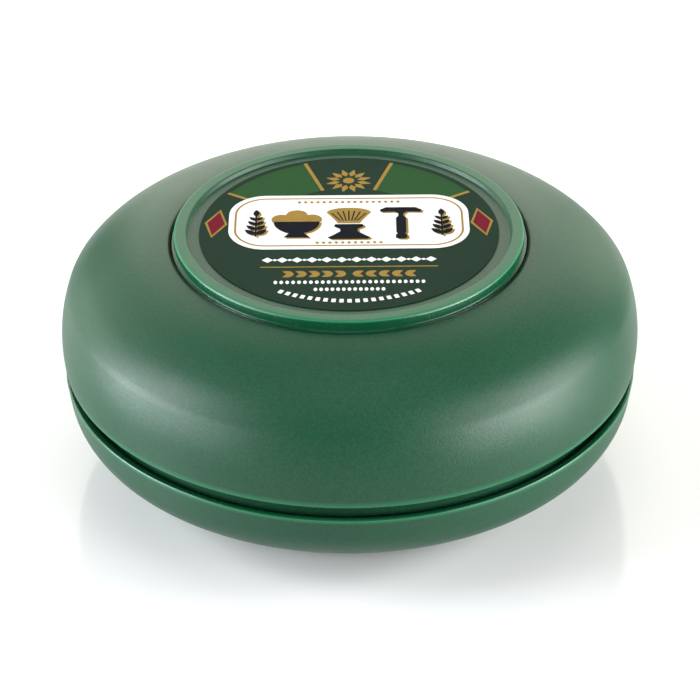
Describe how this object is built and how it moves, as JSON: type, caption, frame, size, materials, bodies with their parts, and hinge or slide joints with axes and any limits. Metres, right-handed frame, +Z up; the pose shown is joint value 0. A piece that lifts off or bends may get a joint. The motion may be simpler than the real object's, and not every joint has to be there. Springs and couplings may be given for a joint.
{
  "type": "shaving soap tub",
  "caption": "Round two-shell plastic tub with a doughnut-shaped screw lid over a poured puck of shaving soap.",
  "frame": {"origin": "on the table, under the middle of the foot ring", "axes": "+Z up along the tub's own axis, +X and +Y square to it, +Y towards the top of the lid's printed label"},
  "size_m": [0.096, 0.096, 0.0424],
  "materials": {
    "green_satin": "satin moulded polypropylene, polished where pieces meet",
    "green_gloss": "polished moulded polypropylene on the hidden and inner pieces",
    "soap": "soft white poured shaving soap, slightly waxy",
    "liner_foam": "white polyethylene foam sheet",
    "lid_print": "printed film label, dark green with cream, gold and red",
    "base_print": "plain paper label"
  },
  "bodies": {
    "base": {"base_shell": "green_satin", "soap_cup": "green_gloss", "soap_puck": "soap", "base_label": "base_print"},
    "seal": {"sealing_liner": "liner_foam"},
    "lid": {"lid_shell": "green_satin", "inner_cap": "green_gloss", "lid_centre": "green_satin", "lid_label": "lid_print"}
  },
  "joints": [
    {"name": "lid_rise", "type": "slide", "parent": "base", "child": "seal", "axis": [0, 0, 1], "range_m": [0, 0.0421]},
    {"name": "lid_turn", "type": "hinge", "parent": "seal", "child": "lid", "pos_m": [0, 0, 0.033], "axis": [0, 0, 1], "range_deg": [0, 1260]}
  ],
  "couplings": [
    {"joint": "lid_rise", "follows": "lid_turn", "m_per_rad": 0.0019099}
  ]
}
